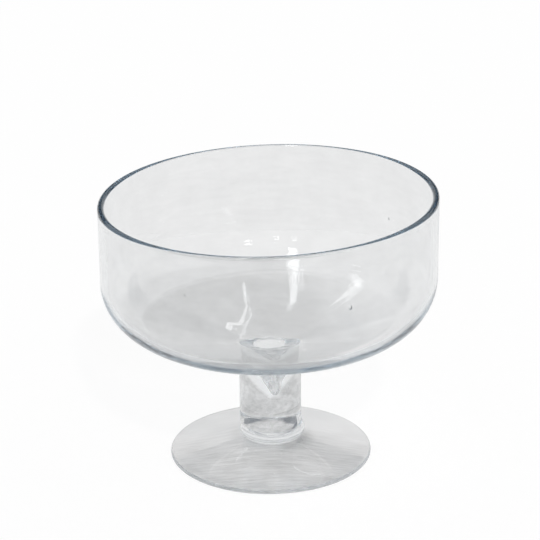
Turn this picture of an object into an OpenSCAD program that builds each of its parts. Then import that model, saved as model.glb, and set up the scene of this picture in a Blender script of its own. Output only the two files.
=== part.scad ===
// Footed trifle bowl in clear blown glass: a deep straight-sided bowl with a dished bottom,
// a solid round stem, a collar and a spun foot, each a piece of glass stuck hot to the next.
// Millimetres, +Z up. The origin is on the axis, in the plane that the foot stands on.

/* [Bowl] */
// Outer diameter of the bowl at the rim
rim_d = 220; // [180:1:260]
// Height of the bowl from the top of the stem to the rim
bowl_h = 108; // [95:1:140]
// Width of the quarter ellipse that the belly follows under the straight wall
belly_w = 41; // [30:1:60]
// Height of that quarter ellipse
belly_h = 37; // [28:1:50]
// How steeply the dished bottom falls where it leaves the belly, as a share of its run
dish_fall_share = 0.40; // [0.34:0.01:0.44]
// How steeply the bottom falls in the middle, over the stem
middle_fall_share = 0.24; // [0.1:0.01:0.3]
// Thickness of the blown wall
wall_t = 4.2; // [2.6:0.1:6]
// Thickness of the bowl's floor under the belly
floor_t = 5.5; // [3:0.1:8]
// Radius that fire polishing leaves on both edges of the rim
rim_edge_r = 1.9; // [0.5:0.1:2]

/* [Blown point] */
// Diameter of the funnel's mouth in the bowl's floor
funnel_d = 24; // [14:1:26]
// Depth below its mouth at which the funnel's straight sides would meet
funnel_depth = 35; // [28:1:40]
// Radius of the funnel's rounded bottom
funnel_tip_r = 1.5; // [0.8:0.1:3]
// Radius of the lip between the floor and the funnel
funnel_lip_r = 9; // [4:0.5:10]
// Thickness of the glass round the funnel
point_t = 3.5; // [2:0.1:4.5]
// Radius of the fillet between the bowl's underside and the point
point_root_r = 2; // [1:0.5:4]

/* [Stem] */
// Diameter of the stem
stem_d = 41; // [37:1:60]
// Height of the stem between the collar and the bowl
stem_h = 51; // [45:1:80]
// Radius of the flare where the stem meets the bowl
flare_r = 1.5; // [0.5:0.1:3]
// Radius of the stem's lower edge
stem_edge_r = 1.5; // [0.5:0.1:2]

/* [Collar] */
// Height of the collar between the stem and the foot
collar_h = 8; // [7:0.5:14]
// How far the collar stands out past the stem
collar_proud = 1.1; // [0.4:0.1:1.5]

/* [Foot] */
// Diameter of the foot
foot_d = 134; // [110:1:160]
// Height of the foot at its middle, where the collar sits
foot_h = 13; // [10:0.5:20]
// Thickness of the foot's rounded edge
foot_edge_t = 2.6; // [1.8:0.1:4]
// Height of the hollow under the foot
foot_hollow_h = 6.5; // [3:0.5:8]
// Width of the flat ring that the foot stands on
foot_rest_w = 5; // [3:0.5:10]
// How the foot's top sweeps up to the middle: 1 is a straight cone, more is more hollow
foot_rise_power = 1.25; // [1:0.05:2]

/* [Hidden] */
$fn = 128;

// Steps along the belly's curve, the dished bottom, a small arc and the foot's two curves
belly_steps = 30;
dish_steps = 16;
arc_steps = 10;
foot_steps = 24;
quarter_turn = 90;
half_turn = 180;
// The flare stops short of a quarter turn, so that its edge isn't a knife edge
flare_sweep = 60;
// The rim's two edges together stay a little short of the wall's thickness
rim_edge_limit_share = 0.48;

// Colours of the glass as it shows in each piece
bowl_colour = [0.90, 0.92, 0.92, 0.45];
stem_colour = [0.80, 0.82, 0.83, 0.55];
collar_colour = [0.84, 0.86, 0.88, 0.55];
foot_colour = [0.82, 0.84, 0.84, 0.50];

// Radii
rim_r = rim_d / 2;
inner_r = rim_r - wall_t;
stem_r = stem_d / 2;
flare_x = stem_r + flare_r;
joint_r = flare_x - flare_r * cos(flare_sweep);
seat_r = stem_r - stem_edge_r;
collar_r = stem_r + collar_proud;
foot_r = foot_d / 2;
foot_edge_r = foot_edge_t / 2;
rest_outer_r = foot_r - foot_edge_r;
rest_inner_r = rest_outer_r - foot_rest_w;
funnel_r = funnel_d / 2;
rim_round_r = min(rim_edge_r, wall_t * rim_edge_limit_share);

// The belly's two ellipses share one centre, and each ends where it falls as steeply as the dish begins
belly_x = rim_r - belly_w;
inner_w = belly_w - wall_t;
inner_h = belly_h - floor_t;
dish_a = atan(dish_fall_share);
middle_a = atan(middle_fall_share);
outer_end_a = atan(belly_h / (belly_w * dish_fall_share));
inner_end_a = atan(inner_h / (inner_w * dish_fall_share));
dish_r = belly_x + belly_w * cos(outer_end_a);
floor_r = belly_x + inner_w * cos(inner_end_a);

// Radius of the dish's shallow arc from radius x in to the joint, and how far it falls on the way
function dish_arc_r(x) = (x - joint_r) / (sin(dish_a) - sin(middle_a));
function dish_fall(x) = dish_arc_r(x) * (cos(middle_a) - cos(dish_a));

// Heights above the table
collar_z = foot_h;
stem_z = collar_z + collar_h;
joint_z = stem_z + stem_h;
rim_z = joint_z + bowl_h;
dish_z = joint_z + dish_fall(dish_r);
wall_z = dish_z + belly_h * sin(outer_end_a);
floor_z = wall_z - inner_h * sin(inner_end_a);
mouth_z = floor_z - dish_fall(floor_r) - (joint_r - funnel_r) * middle_fall_share;

// The funnel is a cone whose rounded tip and the outside of the point share one centre
funnel_a = atan(funnel_r / funnel_depth);
funnel_apex_z = mouth_z - funnel_depth;
point_apex_z = funnel_apex_z - point_t / sin(funnel_a);
tip_z = funnel_apex_z + funnel_tip_r / sin(funnel_a);
point_tip_r = funnel_tip_r + point_t;

// The collar's side is one arc, through the edges of both seats and the collar's widest line
collar_bulge = collar_r - seat_r;
collar_arc_r = (pow(collar_bulge, 2) + pow(collar_h / 2, 2)) / (2 * collar_bulge);
collar_arc_a = asin(collar_h / 2 / collar_arc_r);

// Points of an arc about [x, z], from angle a0 to a1
function arc(x, z, r, a0, a1, steps = arc_steps) =
    [for (i = [0:steps]) let (a = a0 + (a1 - a0) * i / steps) [x + r * cos(a), z + r * sin(a)]];

// A list of points the other way round
function reversed(points) = [for (i = [len(points) - 1:-1:0]) points[i]];

// Part of a quarter ellipse about the belly's centre, from the wall down to the angle end_a
function belly(width, height, end_a) =
    [for (i = [0:belly_steps])
        let (a = end_a * i / belly_steps)
        [belly_x + width * cos(a), wall_z - height * sin(a)]];

// The dish's arc, from the belly's end at [x, z] in to the joint
function dish(x, z) =
    let (r = dish_arc_r(x), start = dish_a - quarter_turn, end = middle_a - quarter_turn)
    arc(x - r * sin(dish_a), z + r * cos(dish_a), r, start, end, dish_steps);

// From the sloping middle of the bottom, which passes through [x, z], over a lip of radius lip_r,
// down a cone of the funnel's angle whose sides would meet at apex_z, and round its tip to the axis
function point_outline(x, z, apex_z, lip_r, tip_r) =
    let (
        cone_share = tan(funnel_a),
        rise = z - x * middle_fall_share - lip_r / cos(middle_a) - apex_z,
        lip_x = (rise * cone_share + lip_r / cos(funnel_a)) / (1 - cone_share * middle_fall_share),
        lip_z = apex_z + rise + lip_x * middle_fall_share)
    concat(
        arc(lip_x, lip_z, lip_r, quarter_turn + middle_a, half_turn - funnel_a),
        arc(0, tip_z, tip_r, -funnel_a, -quarter_turn));

// Inside of the funnel, and the outside of the point, which is also the socket in the stem
funnel_outline = point_outline(funnel_r, mouth_z, funnel_apex_z, funnel_lip_r, funnel_tip_r);
socket_outline = point_outline(joint_r, joint_z, point_apex_z, point_root_r, point_tip_r);

// The foot's top from its edge in to the seat, and its hollow underside from the axis out to the rest ring
foot_rise = foot_h - foot_edge_t;
foot_top =
    [for (i = [1:foot_steps])
        let (s = i / foot_steps)
        [rest_outer_r + (seat_r - rest_outer_r) * s, foot_edge_t + foot_rise * pow(s, foot_rise_power)]];
foot_under =
    [for (i = [0:foot_steps])
        let (s = i / foot_steps)
        [rest_inner_r * s, foot_hollow_h * (1 + cos(half_turn * s)) / 2]];

// Blown bowl: rounded rim, straight wall, belly and dished bottom, and a point drawn out below the floor
module bowl() {
    rim_edge_z = rim_z - rim_round_r;
    outside = concat(
        reversed(socket_outline),
        reversed(dish(dish_r, dish_z)),
        reversed(belly(belly_w, belly_h, outer_end_a)),
        arc(rim_r - rim_round_r, rim_edge_z, rim_round_r, 0, quarter_turn));
    inside = concat(
        arc(inner_r + rim_round_r, rim_edge_z, rim_round_r, quarter_turn, half_turn),
        belly(inner_w, inner_h, inner_end_a),
        dish(floor_r, floor_z),
        funnel_outline);
    color(bowl_colour)
        rotate_extrude()
            polygon(concat(outside, inside));
}

// Solid stem, flared a little under the bowl, with a socket that holds the bowl's point
module stem() {
    flare_z = joint_z - flare_r * sin(flare_sweep);
    color(stem_colour)
        rotate_extrude()
            polygon(concat(
                [[0, stem_z]],
                arc(seat_r, stem_z + stem_edge_r, stem_edge_r, -quarter_turn, 0),
                arc(flare_x, flare_z, flare_r, half_turn, half_turn - flare_sweep),
                socket_outline));
}

// Flattened bead of glass between the stem and the foot
module collar() {
    middle_z = collar_z + collar_h / 2;
    color(collar_colour)
        rotate_extrude()
            polygon(concat(
                [[0, collar_z]],
                arc(collar_r - collar_arc_r, middle_z, collar_arc_r, -collar_arc_a, collar_arc_a),
                [[0, stem_z]]));
}

// Spun foot that sweeps up to the collar, hollow below, so that it stands on a ring at its edge
module foot() {
    color(foot_colour)
        rotate_extrude()
            polygon(concat(
                foot_under,
                arc(rest_outer_r, foot_edge_r, foot_edge_r, -quarter_turn, quarter_turn),
                foot_top,
                [[0, foot_h]]));
}

bowl();
stem();
collar();
foot();
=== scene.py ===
"""Footed trifle bowl in clear blown glass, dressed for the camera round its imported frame."""
import math

import bmesh
import bpy
from mathutils import Matrix, Vector, noise


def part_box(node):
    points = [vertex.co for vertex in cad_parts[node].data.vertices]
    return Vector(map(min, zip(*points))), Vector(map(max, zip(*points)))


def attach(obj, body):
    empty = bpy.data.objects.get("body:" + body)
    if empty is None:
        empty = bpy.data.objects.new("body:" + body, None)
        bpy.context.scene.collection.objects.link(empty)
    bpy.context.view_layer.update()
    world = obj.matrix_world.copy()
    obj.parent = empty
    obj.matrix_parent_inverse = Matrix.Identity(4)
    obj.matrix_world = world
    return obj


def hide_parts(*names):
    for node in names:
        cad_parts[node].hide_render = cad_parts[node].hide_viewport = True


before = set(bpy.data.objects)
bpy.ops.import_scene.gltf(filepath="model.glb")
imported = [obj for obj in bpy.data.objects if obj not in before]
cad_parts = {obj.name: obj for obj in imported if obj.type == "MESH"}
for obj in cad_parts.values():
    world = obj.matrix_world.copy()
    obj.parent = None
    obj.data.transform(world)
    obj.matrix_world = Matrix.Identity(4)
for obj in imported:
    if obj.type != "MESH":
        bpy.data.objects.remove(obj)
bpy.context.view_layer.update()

MM = 0.001

# Heights and radii that the frame gives
bowl_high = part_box("bowl")[1]
stem_low, stem_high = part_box("stem")
collar_low, collar_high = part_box("collar")
foot_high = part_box("foot")[1]
RIM_Z = bowl_high.z
RIM_R = bowl_high.y
JOINT_Z = stem_high.z
STEM_Z = stem_low.z
COLLAR_Z = collar_low.z
COLLAR_R = collar_high.y
FOOT_R = foot_high.y
FOOT_H = foot_high.z

# Sizes of the glass that the frame's boxes don't give
WALL = 4.2 * MM
FLOOR = 5.5 * MM
BELLY_W = 41 * MM
BELLY_H = 37 * MM
DISH_FALL = 0.40
MIDDLE_FALL = 0.24
RIM_EDGE_R = 1.9 * MM
FUNNEL_R = 12 * MM
FUNNEL_DEPTH = 35 * MM
FUNNEL_TIP_R = 1.5 * MM
FUNNEL_LIP_R = 9 * MM
POINT = 3.5 * MM
POINT_ROOT_R = 2 * MM
STEM_R = 20.5 * MM
STEM_EDGE_R = 1.5 * MM
FLARE_R = 1.5 * MM
FLARE_SWEEP = 60
FOOT_EDGE = 2.6 * MM
FOOT_HOLLOW_H = 6.5 * MM
FOOT_REST_W = 5 * MM
FOOT_RISE_POWER = 1.25
# Pieces that were stuck together hot stand this far apart, too little to see
SEAM = 0.03 * MM
# The stem and the collar were fused over a part of their seat only, so the rest of it mirrors
SEAT_FUSED = 0.35

# What the glassmaker's hand left: the rim higher at the right, by a share of x, the funnel and the collar
# off the axis, and an uneven skin of long swells and fine ripples, with stronger pulls round the funnel
RIM_LEAN = 0.024
FUNNEL_OFF = 2.0 * MM
COLLAR_OFF = 1.2 * MM
SWELL = 0.05 * MM
SWELL_LENGTH = 34 * MM
RIPPLE = 0.008 * MM
RIPPLE_LENGTH = 11 * MM
PULL = 0.9 * MM
PULL_LENGTH = 5.0 * MM
# Height over which the pulls grow, from the funnel's point up
PULL_RISE = 12 * MM
# Shifts that keep the skin's patterns from lining up
RIPPLE_SHIFT = Vector((7.3, 1.9, 4.1))
PULL_SHIFT = Vector((2.7, 5.1, 0.4))
# Seed bubbles in the wall: angle about the axis, height and radius, and their depth and height as shares
# of the radius
SEEDS = ((-63, 142 * MM, 1.1 * MM), (-118, 151 * MM, 0.6 * MM), (40, 139 * MM, 0.7 * MM))
SEED_DEEP = 0.4
SEED_TALL = 1.3

# Distance over which one place's treatment runs into the next
BLEND = 2 * MM
# Inside this radius the glass belongs to the funnel and its point
CORE_R = STEM_R - BLEND

# Film of wipe marks, heavier at the front of the foot and of the stem as painted shade: its share at the
# foot's back and on the collar, the places from front to back between which it fades on the foot and on the
# stem, and how far under the bowl it begins to fade and ends
FOOT_BACK_FILM_AND_SHADE = 0.2
COLLAR_FILM = 0.15
FOOT_SHADE_FADE = (-30 * MM, 35 * MM)
STEM_SHADE_FADE = (-18 * MM, 16 * MM)
STEM_FILM_FADES, STEM_FILM_ENDS = 11 * MM, 4 * MM
# Half width of the clear place over the point in the stem, as a share of the height above its tip
POINT_CLEAR = 1.1

# Painted shade on the foot, in patches like limescale: darker along the edge, with a share gone at the
# right, and in the corner under the collar, more of it at the front right
EDGE_PAINTED_SHADE = 0.6
EDGE_SHADE_RIGHT_CLEAR = 0.7
CORNER_SHADE_WIDE = 11 * MM
CORNER_PAINTED_SHADE = 0.1
CORNER_RIGHT_PAINTED_SHADE = 0.75
# Painted shade in the bowl, in patches like limescale, for the bowl's shadow on the floor seen through the
# dish and a darker front left of the belly: the shares gone at the dish's right back and at the belly's
# right, and how far up the front of the belly it reaches
DISH_SHADOW_BACK_CLEAR = 0.7
BELLY_SHADE_RIGHT_CLEAR = 0.8
BELLY_SHADE_HIGH = 20 * MM

# Soda-lime glass, and the tint that shows where light goes a long way in it
GLASS_IOR = 1.5
GLASS_DEPTH = "F1F4F6"
# Share of the light that a surface lets through into the shadow, and that share in the bowl's back half,
# which shades the floor, with the part of the loss that the dish has
SHADOW_LIGHT = 0.94
BACK_LIGHT = 0.8
DISH_SHADE = 0.6

# Two points closer than this are one
TOUCHING = 0.0001 * MM
# A crease from this angle up stays sharp
SHARP_FROM = 35
# Paths through many layers of glass go on this far
BOUNCES = 160


def sin(degrees):
    return math.sin(math.radians(degrees))


def cos(degrees):
    return math.cos(math.radians(degrees))


def smooth(value, start, end):
    """0 before start, 1 after end, and an even curve between."""
    s = min(max((value - start) / (end - start), 0), 1)
    return s * s * (3 - 2 * s)


def arc(x, z, r, start, end, steps=10):
    """Points of an arc about (x, z), by angles in degrees."""
    angles = [start + (end - start) * i / steps for i in range(steps + 1)]
    return [(x + r * cos(a), z + r * sin(a)) for a in angles]


def line(start, end, steps):
    """Points of a straight stretch."""
    return [tuple(a + (b - a) * i / steps for a, b in zip(start, end)) for i in range(steps + 1)]


# Places that follow from those sizes
INNER_R = RIM_R - WALL
BELLY_X = RIM_R - BELLY_W
JOINT_R = STEM_R + FLARE_R - FLARE_R * cos(FLARE_SWEEP)
SEAT_R = STEM_R - STEM_EDGE_R
REST_R = FOOT_R - FOOT_EDGE / 2
DISH_A = math.degrees(math.atan(DISH_FALL))
MIDDLE_A = math.degrees(math.atan(MIDDLE_FALL))


def belly(width, height, wall_z, steps=48):
    """Part of an ellipse under the wall, down to where it falls as steeply as the dish begins."""
    end = math.degrees(math.atan2(height, width * DISH_FALL))
    turns = [end * i / steps for i in range(steps + 1)]
    return [(BELLY_X + width * cos(a), wall_z - height * sin(a)) for a in turns]


def dish(x, z, steps=36):
    """Shallow arc of the bottom, from the belly's end in to the joint, flatter towards the middle."""
    r = (x - JOINT_R) / (sin(DISH_A) - sin(MIDDLE_A))
    return arc(x - r * sin(DISH_A), z + r * cos(DISH_A), r, DISH_A - 90, MIDDLE_A - 90, steps)


WALL_Z = JOINT_Z - dish(*belly(BELLY_W, BELLY_H, 0)[-1])[-1][1]
DISH_R, FLOOR_Z = belly(BELLY_W - WALL, BELLY_H - FLOOR, WALL_Z)[-1]
middle_r, middle_z = dish(DISH_R, FLOOR_Z)[-1]
MOUTH_Z = middle_z - (middle_r - FUNNEL_R) * MIDDLE_FALL
FUNNEL_A = math.degrees(math.atan(FUNNEL_R / FUNNEL_DEPTH))
APEX_Z = MOUTH_Z - FUNNEL_DEPTH
TIP_Z = APEX_Z + FUNNEL_TIP_R / sin(FUNNEL_A)


def drawn_point(x, z, apex_z, lip_r, tip_r):
    """From the sloping middle of the bottom over a lip, down the funnel's cone and round its tip."""
    cone = FUNNEL_R / FUNNEL_DEPTH
    rise = z - x * MIDDLE_FALL - lip_r / cos(MIDDLE_A) - apex_z
    lip_x = (rise * cone + lip_r / cos(FUNNEL_A)) / (1 - cone * MIDDLE_FALL)
    lip_z = apex_z + rise + lip_x * MIDDLE_FALL
    lip = arc(lip_x, lip_z, lip_r, 90 + MIDDLE_A, 180 - FUNNEL_A, steps=16)
    tip = arc(0, TIP_Z, tip_r, -FUNNEL_A, -90)
    return lip + line(lip[-1], tip[0], steps=16)[1:-1] + tip


def point_outside():
    """Outside of the point below the bowl's floor, which fills the socket in the stem."""
    return drawn_point(JOINT_R, JOINT_Z, APEX_Z - POINT / sin(FUNNEL_A), POINT_ROOT_R, FUNNEL_TIP_R + POINT)


def flare():
    """Outline of the stem's flare, up to the bowl's underside."""
    return arc(STEM_R + FLARE_R, JOINT_Z - FLARE_R * sin(FLARE_SWEEP), FLARE_R, 180, 180 - FLARE_SWEEP)


def skin(place):
    """Height of the uneven skin at a place."""
    swell = noise.noise(place / SWELL_LENGTH)
    ripple = noise.noise(place / RIPPLE_LENGTH + RIPPLE_SHIFT)
    pull = noise.noise(place / PULL_LENGTH + PULL_SHIFT)
    r = math.hypot(place.x, place.y)
    near_funnel = smooth(place.z, APEX_Z, APEX_Z + PULL_RISE) * (1 - smooth(r, FUNNEL_R, STEM_R))
    return swell * SWELL + ripple * RIPPLE + pull * PULL * near_funnel


def hand_made(x, y, z):
    """Where the glassmaker's hand left a place of the true shape."""
    r = math.hypot(x, y)
    funnel = smooth(z, JOINT_Z, APEX_Z) * (1 - smooth(r, FUNNEL_R, CORE_R))
    collar = smooth(z, COLLAR_Z - BLEND, COLLAR_Z) * (1 - smooth(z, STEM_Z, STEM_Z + BLEND))
    lean = RIM_LEAN * smooth(z, JOINT_Z, RIM_Z)
    return x + funnel * FUNNEL_OFF + collar * COLLAR_OFF, y, z + lean * x


def film_and_painted_shade(r, x, y, z):
    """How much film of wipe marks greys a place, from 0 to 1, laid heavier where it paints shade.

    It reaches all over the bowl but not into the funnel. On the foot it is heavier at the front, as painted
    shade. The stem has it at the front only, as painted shade, but not over the point inside it or close
    under the bowl.
    """
    if z < COLLAR_Z:
        return FOOT_BACK_FILM_AND_SHADE + (1 - FOOT_BACK_FILM_AND_SHADE) * (1 - smooth(y, *FOOT_SHADE_FADE))
    if z < STEM_Z:
        return COLLAR_FILM
    if r <= CORE_R:
        return smooth(r, FUNNEL_R, CORE_R)
    if z >= JOINT_Z:
        return 1
    front = 1 - smooth(y, *STEM_SHADE_FADE)
    point_half = (z - TIP_Z - BLEND) * POINT_CLEAR
    over_point = 1 - smooth(abs(x), point_half - BLEND, point_half + BLEND)
    low = 1 - smooth(z, JOINT_Z - STEM_FILM_FADES, JOINT_Z - STEM_FILM_ENDS)
    return front * low * (1 - over_point)


def scale_and_painted_shade(r, x, y, z):
    """How much painted shade greys the glass at a place, from 0 to 1, laid in patches like limescale.

    In the bowl it darkens the dished bottom, where the bowl's shadow on the floor is seen through, and the
    belly at the front left. On the foot it darkens the edge, and the corner under the collar where shade
    falls.
    """
    if z < FOOT_H:
        right = smooth(x, -20 * MM, 40 * MM)
        edge = EDGE_PAINTED_SHADE * (1 - EDGE_SHADE_RIGHT_CLEAR * right) * smooth(r, REST_R, REST_R + FOOT_EDGE / 2)
        on_top = smooth(z, FOOT_H / 2, FOOT_H / 2 + 1 * MM)
        corner = on_top * (1 - smooth(r, COLLAR_R, COLLAR_R + CORNER_SHADE_WIDE))
        front_right = smooth(x, 0, 15 * MM) * (1 - smooth(y, -5 * MM, 15 * MM))
        return max(edge, corner * (CORNER_PAINTED_SHADE + CORNER_RIGHT_PAINTED_SHADE * front_right))
    if z < MOUTH_Z - 4 * MM:
        return 0
    outside_funnel = smooth(r, 0.9 * FUNNEL_R, 1.6 * FUNNEL_R)
    right_back = smooth(x, 15 * MM, 65 * MM) * smooth(y, -50 * MM, 0)
    in_dish = outside_funnel * (1 - DISH_SHADOW_BACK_CLEAR * right_back) if r < DISH_R else 0
    low_front = (1 - smooth(z, FLOOR_Z, FLOOR_Z + BELLY_SHADE_HIGH)) * (1 - smooth(y, -50 * MM, 0))
    in_belly = low_front * (1 - BELLY_SHADE_RIGHT_CLEAR * smooth(x, -20 * MM, 50 * MM))
    return max(in_dish, in_belly)


def shadow_light(x, y, z):
    """Share of the light that the glass at a place lets through into the shadow."""
    dish_top, belly_top = JOINT_Z + 12 * MM, JOINT_Z + 35 * MM
    up = DISH_SHADE * smooth(z, JOINT_Z, dish_top) + (1 - DISH_SHADE) * smooth(z, dish_top, belly_top)
    back = smooth(y, 0, RIM_R / 2)
    far_right = smooth(x, 0.5 * RIM_R, 0.85 * RIM_R)
    return SHADOW_LIGHT + (BACK_LIGHT - SHADOW_LIGHT) * up * back * (1 - far_right)


def lathe(name, runs, around, unevenness, seeds=False):
    """Closed mesh of an outline turned about the axis. A run is its points and how far it is fused."""
    outline, fused = [], []
    for points, seam in runs:
        for point in points:
            if not outline or math.dist(point, outline[-1]) > TOUCHING:
                outline.append(point)
                fused.append(seam)
    mesh = bpy.data.meshes.new(name)
    shape = bmesh.new()
    seam_of = shape.faces.layers.float.new("fused")
    # Per point: film with its painted shade, painted shade in patches like limescale, and light let into
    # shadow
    film_and_shade_at = shape.verts.layers.float.new("film_and_shade")
    shade_at = shape.verts.layers.float.new("scale_and_painted_shade")
    lit_at = shape.verts.layers.float.new("shadow_light")
    rings = []
    for i, (r, z) in enumerate(outline):
        before, after = outline[max(i - 1, 0)], outline[min(i + 1, len(outline) - 1)]
        along_r, along_z = after[0] - before[0], after[1] - before[1]
        length = math.hypot(along_r, along_z)
        held = fused[i] > 0 or fused[min(i + 1, len(fused) - 1)] > 0
        ring = []
        for turn in range(1 if r < TOUCHING else around):
            t = math.tau * turn / around
            lift = 0 if held else skin(Vector((r * math.cos(t), r * math.sin(t), z))) * unevenness
            out = r + lift * along_z / length if r > TOUCHING else 0
            place = hand_made(out * math.cos(t), out * math.sin(t), z - lift * along_r / length)
            ring.append(shape.verts.new(place))
            ring[-1][film_and_shade_at] = film_and_painted_shade(r, place[0], place[1], z)
            ring[-1][shade_at] = scale_and_painted_shade(r, place[0], place[1], z)
            ring[-1][lit_at] = shadow_light(place[0], place[1], z)
        rings.append(ring * around if len(ring) == 1 else ring)
    for low, high, seam in zip(rings, rings[1:], fused[1:]):
        for i in range(around):
            j = (i + 1) % around
            face = shape.faces.new(list(dict.fromkeys([low[i], low[j], high[j], high[i]])))
            face[seam_of] = seam
            face.smooth = True
    if seeds:
        add_seeds(shape)
    shape.to_mesh(mesh)
    shape.free()
    mesh.set_sharp_from_angle(angle=math.radians(SHARP_FROM))
    piece = bpy.data.objects.new(name, mesh)
    bpy.context.scene.collection.objects.link(piece)
    return piece


def add_seeds(shape):
    """Seed bubbles in the bowl's wall: small closed hollows, drawn tall as the wall was blown."""
    around, rows = 12, 8
    lit_at = shape.verts.layers.float["shadow_light"]
    for turn, z, r in SEEDS:
        outward, sideways = Vector((cos(turn), sin(turn), 0)), Vector((sin(turn), -cos(turn), 0))
        middle = outward * (RIM_R - WALL / 2) + Vector((0, 0, z))
        rings = []
        for i in range(rows + 1):
            up = 180 * i / rows - 90
            ring = []
            for j in range(1 if i in (0, rows) else around):
                across = r * cos(up) * cos(360 * j / around)
                deep = SEED_DEEP * r * cos(up) * sin(360 * j / around)
                tall = Vector((0, 0, SEED_TALL * r * sin(up)))
                ring.append(shape.verts.new(middle + outward * deep + sideways * across + tall))
                ring[-1][lit_at] = SHADOW_LIGHT
            rings.append(ring * around if len(ring) == 1 else ring)
        for low, high in zip(rings, rings[1:]):
            for j in range(around):
                k = (j + 1) % around
                face = shape.faces.new(list(dict.fromkeys([low[j], high[j], high[k], low[k]])))
                face.smooth = True


def make_bowl():
    """Blown bowl: rounded rim, straight wall, belly and dished bottom, and the point below the floor."""
    stuck = point_outside()[::-1] + [flare()[-1]]
    round_under = belly(BELLY_W, BELLY_H, WALL_Z)
    edge_z = RIM_Z - RIM_EDGE_R
    outside = dish(*round_under[-1])[::-1] + round_under[::-1]
    outside += line(outside[-1], (RIM_R, edge_z), steps=20)[1:-1]
    outside += arc(RIM_R - RIM_EDGE_R, edge_z, RIM_EDGE_R, 0, 90)
    inside = arc(INNER_R + RIM_EDGE_R, edge_z, RIM_EDGE_R, 90, 180)
    round_inside = belly(BELLY_W - WALL, BELLY_H - FLOOR, WALL_Z)
    inside += line(inside[-1], round_inside[0], steps=20)[1:-1] + round_inside
    middle = dish(*round_inside[-1])
    funnel = drawn_point(FUNNEL_R, MOUTH_Z, APEX_Z, FUNNEL_LIP_R, FUNNEL_TIP_R)
    inside += middle + line(middle[-1], funnel[0], steps=8)[1:-1] + funnel
    return lathe("blown_bowl", [(stuck, 1), (outside + inside, 0)], around=256, unevenness=1.0, seeds=True)


def make_stem():
    """Solid stem, flared a little under the bowl, with the socket that holds the bowl's point."""
    seat = [(0, STEM_Z), (SEAT_R, STEM_Z)]
    side = arc(SEAT_R, STEM_Z + STEM_EDGE_R, STEM_EDGE_R, -90, 0)
    side += line(side[-1], flare()[0], steps=24)[1:-1] + flare()
    socket = [(r, z - SEAM) for r, z in [flare()[-1]] + point_outside()]
    side[-1] = socket[0]
    return lathe("solid_stem", [(seat, SEAT_FUSED), (side, 0), (socket, 1)], around=160, unevenness=0.8)


def make_collar():
    """Flattened bead of glass between the stem and the foot, with one arc as its side."""
    low, high = COLLAR_Z + SEAM, STEM_Z - SEAM
    half = (high - low) / 2
    bulge = COLLAR_R - SEAT_R
    r = (bulge ** 2 + half ** 2) / (2 * bulge)
    sweep = math.degrees(math.asin(half / r))
    side = arc(COLLAR_R - r, low + half, r, -sweep, sweep, steps=24)
    under, seat = [(0, low), side[0]], [side[-1], (0, high)]
    return lathe("collar_bead", [(under, 1), (side, 0), (seat, SEAT_FUSED)], around=160, unevenness=0)


def make_foot():
    """Spun foot that sweeps up to the collar, hollow below, so that it stands on a ring near its edge."""
    inner = REST_R - FOOT_REST_W
    steps = 60
    shares = [i / steps for i in range(steps + 1)]
    under = [(inner * s, FOOT_HOLLOW_H * (1 + math.cos(math.pi * s)) / 2) for s in shares]
    edge = arc(REST_R, FOOT_EDGE / 2, FOOT_EDGE / 2, -90, 90, steps=16)
    top = [(REST_R + (SEAT_R - REST_R) * s, FOOT_EDGE + (FOOT_H - FOOT_EDGE) * s ** FOOT_RISE_POWER)
           for s in shares]
    seat = [top[-1], (0, FOOT_H)]
    return lathe("spun_foot", [(under, 0), (edge, 0), (top, 0), (seat, 1)], around=256, unevenness=0.5)


def linear(hex_colour):
    """Linear red, green and blue of an sRGB hex colour, with alpha 1."""
    parts = [int(hex_colour[i:i + 2], 16) / 255 for i in (0, 2, 4)]
    return [c / 12.92 if c <= 0.04045 else ((c + 0.055) / 1.055) ** 2.4 for c in parts] + [1]


def add_node(tree, kind, settings=None, **links):
    """Adds a node. Settings are attributes or input values; links are inputs, spaces as underscores.

    An input is named, or given by its number, as i0 in a link. A colour mix has its colours at 6 and 7.
    """
    node = tree.nodes.new(kind)
    for name, value in (settings or {}).items():
        if isinstance(name, str) and hasattr(node, name):
            setattr(node, name, value)
        else:
            node.inputs[name].default_value = value
    for name, socket in links.items():
        key = int(name[1:]) if name[0] == "i" and name[1:].isdigit() else name.replace("_", " ")
        tree.links.new(socket, node.inputs[key])
    return node


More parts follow.
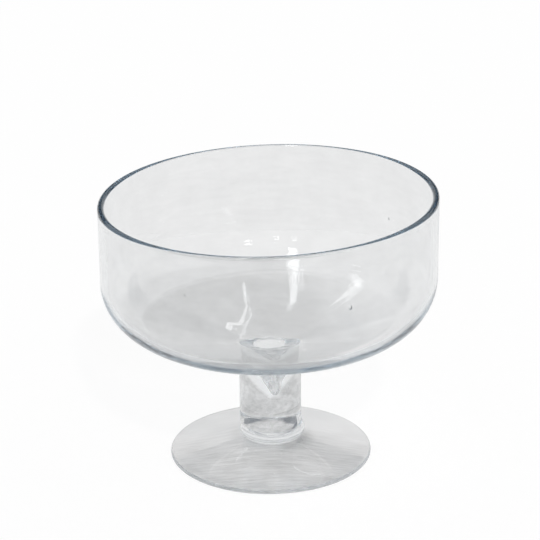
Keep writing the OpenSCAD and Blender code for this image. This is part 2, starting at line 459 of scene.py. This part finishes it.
def blown_glass(name, density, clear, filmed_and_shaded, shade_tone, mark, mark_share):
    """Soda-lime glass, blown and fire polished, clear but blue-grey where light goes a long way in it.

    A thin film of wipe marks greys it a little, in clouds and in fine streaks, heavier where it paints
    shade.
    Painted shade in patches like limescale greys it more where shade falls. A mark is its size along x, y
    and z, and mark_share is the marks' strength beside the clouds.
    """
    cloud = 20 * MM
    thin, thick = 0.35, 0.65
    least_shade = 0.55
    material = bpy.data.materials.new(name)
    material.use_nodes = True
    tree = material.node_tree
    tree.nodes.clear()
    place = add_node(tree, "ShaderNodeTexCoord").outputs["Object"]
    clouds = add_node(tree, "ShaderNodeTexNoise", {"Scale": 1 / cloud, "Detail": 3.0, "Roughness": 0.6},
                      Vector=place)
    # Wipe marks, fine across and long along, drawn coarser than real ones so that they show
    per_metre = tuple(1 / size for size in mark)
    drawn_out = add_node(tree, "ShaderNodeVectorMath", {"operation": "MULTIPLY", 1: per_metre}, i0=place)
    marks = add_node(tree, "ShaderNodeTexNoise", {"Scale": 1.0, "Detail": 4.0, "Roughness": 0.7},
                     Vector=drawn_out.outputs[0])
    both = add_node(tree, "ShaderNodeMath", {"operation": "MULTIPLY_ADD", 1: mark_share},
                    i0=marks.outputs["Fac"], i2=clouds.outputs["Fac"])
    film_and_shade = add_node(tree, "ShaderNodeMapRange",
                    {"From Min": thin + mark_share * thin, "From Max": thick + mark_share * thick},
                    i0=both.outputs[0])
    # The filmed tone is wipe marks and painted shade together
    wiped_and_shaded = add_node(tree, "ShaderNodeMix", {"data_type": "RGBA", 6: linear(clear), 7: linear(filmed_and_shaded)},
                     i0=film_and_shade.outputs[0])
    # Where no film or painted shade was laid, such as in the funnel, the glass is quite clear
    left = add_node(tree, "ShaderNodeAttribute", {"attribute_name": "film_and_shade"})
    walls = add_node(tree, "ShaderNodeMix", {"data_type": "RGBA", 6: (1, 1, 1, 1)},
                     i0=left.outputs["Fac"], i7=wiped_and_shaded.outputs[2])
    # Painted shade in patches like limescale, uneven in the same marks
    shade_mask = add_node(tree, "ShaderNodeAttribute", {"attribute_name": "scale_and_painted_shade"})
    patches = add_node(tree, "ShaderNodeMapRange",
                       {"From Min": 0.3, "From Max": 0.7, "To Min": least_shade, "To Max": 1.0},
                       i0=marks.outputs["Fac"])
    shade_amount = add_node(tree, "ShaderNodeMath", {"operation": "MULTIPLY"},
                     i0=shade_mask.outputs["Fac"], i1=patches.outputs[0])
    tint = add_node(tree, "ShaderNodeMix", {"data_type": "RGBA", 7: linear(shade_tone)},
                    i0=shade_amount.outputs[0], i6=walls.outputs[2])
    body = add_node(tree, "ShaderNodeBsdfPrincipled",
                    {"Roughness": 0.0, "IOR": GLASS_IOR, "Transmission Weight": 1.0},
                    Base_Color=tint.outputs[2])
    # Where two pieces were fused there is no surface left to see, and the shadow of clear glass is light
    fused = add_node(tree, "ShaderNodeAttribute", {"attribute_name": "fused"})
    path = add_node(tree, "ShaderNodeLightPath")
    let_through = add_node(tree, "ShaderNodeAttribute", {"attribute_name": "shadow_light"})
    lit = add_node(tree, "ShaderNodeMath", {"operation": "MULTIPLY"},
                   i0=path.outputs["Is Shadow Ray"], i1=let_through.outputs["Fac"])
    passing = add_node(tree, "ShaderNodeMath", {"operation": "MAXIMUM"},
                       i0=fused.outputs["Fac"], i1=lit.outputs[0])
    clear_way = add_node(tree, "ShaderNodeBsdfTransparent")
    surface = add_node(tree, "ShaderNodeMixShader",
                       i0=passing.outputs[0], i1=body.outputs[0], i2=clear_way.outputs[0])
    depth = add_node(tree, "ShaderNodeVolumeAbsorption", {"Color": linear(GLASS_DEPTH), "Density": density})
    add_node(tree, "ShaderNodeOutputMaterial", Surface=surface.outputs[0], Volume=depth.outputs[0])
    return material


def make_floor():
    """Matt painted floor in pale grey, near white to the camera and in the glass, that keeps the shadow."""
    half, z = 6.0, -0.2 * MM
    white_share, glass_share = 0.85, 0.35
    mesh = bpy.data.meshes.new("studio_floor")
    corners = [(-half, -half, z), (half, -half, z), (half, half, z), (-half, half, z)]
    mesh.from_pydata(corners, [], [(0, 1, 2, 3)])
    floor = bpy.data.objects.new("studio_floor", mesh)
    bpy.context.scene.collection.objects.link(floor)
    material = bpy.data.materials.new("matt_pale_floor")
    material.use_nodes = True
    tree = material.node_tree
    tree.nodes.clear()
    matt = add_node(tree, "ShaderNodeBsdfDiffuse", {"Color": linear("F5F5F5")})
    path = add_node(tree, "ShaderNodeLightPath")
    seen_in_glass = add_node(tree, "ShaderNodeMath", {"operation": "MAXIMUM"},
                             i0=path.outputs["Is Glossy Ray"], i1=path.outputs["Is Transmission Ray"])
    in_glass = add_node(tree, "ShaderNodeMath", {"operation": "MULTIPLY", 1: glass_share},
                        i0=seen_in_glass.outputs[0])
    pale = add_node(tree, "ShaderNodeEmission", {"Color": linear("E7E7E7"), "Strength": 1.0})
    through = add_node(tree, "ShaderNodeMixShader",
                       i0=in_glass.outputs[0], i1=matt.outputs[0], i2=pale.outputs[0])
    direct = add_node(tree, "ShaderNodeMath", {"operation": "MULTIPLY", 1: white_share},
                      i0=path.outputs["Is Camera Ray"])
    white = add_node(tree, "ShaderNodeEmission", {"Color": (1, 1, 1, 1), "Strength": 1.0})
    mix = add_node(tree, "ShaderNodeMixShader",
                   i0=direct.outputs[0], i1=through.outputs[0], i2=white.outputs[0])
    add_node(tree, "ShaderNodeOutputMaterial", Surface=mix.outputs[0])
    mesh.materials.append(material)


def make_backdrop():
    """Painted board behind the bowl that only the glass sees, slate above and pale below.

    The slate is thin in the middle. It darkens the left and right ends of the rim, and the stem and the foot
    see the pale part.
    """
    half, high, back = 0.55, 0.39, 0.42
    slate_low, soft = 0.24, 0.02
    thin_until, thick_from, thin_share = 0.04, 0.15, 0.25
    mesh = bpy.data.meshes.new("studio_backdrop")
    corners = [(-half, back, 0), (half, back, 0), (half, back, high), (-half, back, high)]
    mesh.from_pydata(corners, [], [(0, 1, 2, 3)])
    board = bpy.data.objects.new("studio_backdrop", mesh)
    board.visible_camera = False
    board.visible_diffuse = False
    board.visible_shadow = False
    bpy.context.scene.collection.objects.link(board)
    material = bpy.data.materials.new("painted_slate_board")
    material.use_nodes = True
    tree = material.node_tree
    tree.nodes.clear()
    place = add_node(tree, "ShaderNodeTexCoord")
    along = add_node(tree, "ShaderNodeSeparateXYZ", i0=place.outputs["Object"])
    above = add_node(tree, "ShaderNodeMapRange", {"From Min": slate_low, "From Max": slate_low + soft},
                     i0=along.outputs["Z"])
    from_middle = add_node(tree, "ShaderNodeMath", {"operation": "ABSOLUTE"}, i0=along.outputs["X"])
    thick = add_node(tree, "ShaderNodeMapRange",
                     {"From Min": thin_until, "From Max": thick_from, "To Min": thin_share, "To Max": 1.0},
                     i0=from_middle.outputs[0])
    slate = add_node(tree, "ShaderNodeMath", {"operation": "MULTIPLY"},
                     i0=above.outputs[0], i1=thick.outputs[0])
    tone = add_node(tree, "ShaderNodeMix", {"data_type": "RGBA", 6: linear("F1F1F1"), 7: linear("4E5B69")},
                    i0=slate.outputs[0])
    glow = add_node(tree, "ShaderNodeEmission", {"Strength": 1.0}, Color=tone.outputs[2])
    add_node(tree, "ShaderNodeOutputMaterial", Surface=glow.outputs[0])
    mesh.materials.append(material)


def make_world():
    """Soft even light all round. The glass sees a pale room, and the camera sees white."""
    world = bpy.data.worlds.new("studio")
    bpy.context.scene.world = world
    world.use_nodes = True
    tree = world.node_tree
    tree.nodes.clear()
    path = add_node(tree, "ShaderNodeLightPath")
    seen_in_glass = add_node(tree, "ShaderNodeMath", {"operation": "MAXIMUM"},
                             i0=path.outputs["Is Glossy Ray"], i1=path.outputs["Is Transmission Ray"])
    fill = add_node(tree, "ShaderNodeBackground", {"Color": (1, 1, 1, 1), "Strength": 0.6})
    room = add_node(tree, "ShaderNodeBackground", {"Color": linear("F2F2F2"), "Strength": 1.0})
    white = add_node(tree, "ShaderNodeBackground", {"Color": (1, 1, 1, 1), "Strength": 1.0})
    around = add_node(tree, "ShaderNodeMixShader",
                      i0=seen_in_glass.outputs[0], i1=fill.outputs[0], i2=room.outputs[0])
    mix = add_node(tree, "ShaderNodeMixShader",
                   i0=path.outputs["Is Camera Ray"], i1=around.outputs[0], i2=white.outputs[0])
    add_node(tree, "ShaderNodeOutputWorld", Surface=mix.outputs[0])


def key_light():
    """Light from over the camera's right shoulder, which puts the bowl's shadow behind it."""
    strength, softness, direction = 2.1, math.radians(2.5), Vector((-0.2, 1.0, -0.9))
    lamp = bpy.data.lights.new("key_light", "SUN")
    lamp.energy = strength
    lamp.angle = softness
    ob = bpy.data.objects.new("key_light", lamp)
    ob.rotation_euler = direction.to_track_quat("-Z", "Y").to_euler()
    ob.visible_camera = False
    ob.visible_glossy = False
    ob.visible_transmission = False
    bpy.context.scene.collection.objects.link(ob)


def strip_lamp(name, piece, start, end, width, brightness):
    """Narrow lamp under the ceiling, which shows as a streak in one piece of the glass."""
    height = 1.3
    run = Vector(end) - Vector(start)
    lamp = bpy.data.lights.new(name, "AREA")
    lamp.shape = "RECTANGLE"
    lamp.size = width
    lamp.size_y = run.length
    lamp.energy = brightness * width * run.length * math.pi
    ob = bpy.data.objects.new(name, lamp)
    ob.location = ((start[0] + end[0]) / 2, (start[1] + end[1]) / 2, height)
    ob.rotation_euler = (0, 0, -math.atan2(run.x, run.y))
    ob.visible_camera = False
    bpy.context.scene.collection.objects.link(ob)
    lit_piece = bpy.data.collections.new(name + "_lights")
    lit_piece.objects.link(piece)
    ob.light_linking.receiver_collection = lit_piece


def make_camera():
    """Camera at the photograph's angle, looking down at the bowl from in front."""
    lens_pixels, image_pixels, sensor = 2225.9, 540, 36.0
    target = Vector((0.66, 0, 129.4)) * MM
    distance, elevation, roll = 1.45, math.radians(21.29), math.radians(-0.63)
    data = bpy.data.cameras.new("camera")
    data.sensor_width = sensor
    data.lens = lens_pixels / image_pixels * sensor
    camera = bpy.data.objects.new("camera", data)
    back = Vector((0, -math.cos(elevation), math.sin(elevation)))
    turn = Matrix.Rotation(math.pi / 2 - elevation, 4, "X") @ Matrix.Rotation(roll, 4, "Z")
    camera.matrix_world = Matrix.Translation(target + back * distance) @ turn
    bpy.context.scene.collection.objects.link(camera)
    bpy.context.scene.camera = camera


# The bowl's glass is tinted more deeply than the rest, which gives the rim its dark line. The wipe marks run
# round the bowl, in small clouds on the stem, and from side to side on the foot.
# The filmed tones carry painted shade as well, and the last tone is painted shade in patches like limescale
bowl_glass = blown_glass("blown_bowl_glass", density=38.0, clear="FDFDFD", filmed_and_shaded="F5F5F5", shade_tone="E4E4E4",
                         mark=(16.667 * MM, 16.667 * MM, 3.333 * MM), mark_share=0.8)
stem_glass = blown_glass("solid_stem_glass", density=8.0, clear="E6E6E6", filmed_and_shaded="909090", shade_tone="E4E4E4",
                         mark=(6.25 * MM, 6.25 * MM, 4.545 * MM), mark_share=1.2)
foot_glass = blown_glass("spun_foot_glass", density=8.0, clear="FDFDFD", filmed_and_shaded="D6D6D6", shade_tone="8C8C8C",
                         mark=(22.22 * MM, 1.923 * MM, 22.22 * MM), mark_share=4.0)
pieces = {}
for node, make, glass in (("bowl", make_bowl, bowl_glass), ("stem", make_stem, stem_glass),
                          ("collar", make_collar, stem_glass), ("foot", make_foot, foot_glass)):
    piece = pieces[node] = make()
    piece.data.materials.append(glass)
    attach(piece, "root")
    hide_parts(node)

make_floor()
make_backdrop()
make_world()
key_light()
# Lamps that show as the streaks and spots in the bowl: where each begins and ends, its width and brightness
for name, start, end, width, brightness in (
        ("middle_strip", (-0.1, 0.68), (-0.13, 0.9), 0.03, 4),
        ("middle_join", (-0.16, 0.25), (-0.1, 0.68), 0.05, 4),
        ("middle_head", (-0.23, -0.2), (-0.16, 0.25), 0.1, 5),
        ("rim_spot", (-0.3, -0.55), (-0.27, -0.3), 0.1, 7),
        ("left_strip", (0.105, 0.75), (0.135, 0.93), 0.012, 4),
        ("left_bend", (0.135, 0.93), (0.31, 1.34), 0.012, 4),
        ("left_tail", (0.31, 1.34), (0.41, 1.8), 0.012, 4),
        ("right_strip", (-0.5, 0.7), (-0.4, 1.08), 0.11, 3.5),
        ("right_tail", (-0.385, 1.08), (-0.36, 1.21), 0.04, 3),
        ("right_streak", (-0.75, 0.29), (-0.88, 0.41), 0.03, 4),
        ("back_strip", (-0.66, 3.05), (-0.68, 2.75), 0.03, 6),
        ("left_spot", (0.31, -1.23), (0.45, -1.23), 0.14, 10),
        ("middle_spot", (-0.28, -1.81), (-0.14, -1.81), 0.14, 10),
        ("right_spot", (-0.71, -1.63), (-0.57, -1.63), 0.14, 10)):
    strip_lamp(name, pieces["bowl"], start, end, width, brightness)
make_camera()

scene = bpy.context.scene
scene.view_settings.view_transform = "Standard"
scene.cycles.max_bounces = BOUNCES
scene.cycles.transmission_bounces = BOUNCES
scene.cycles.glossy_bounces = BOUNCES
scene.cycles.transparent_max_bounces = BOUNCES
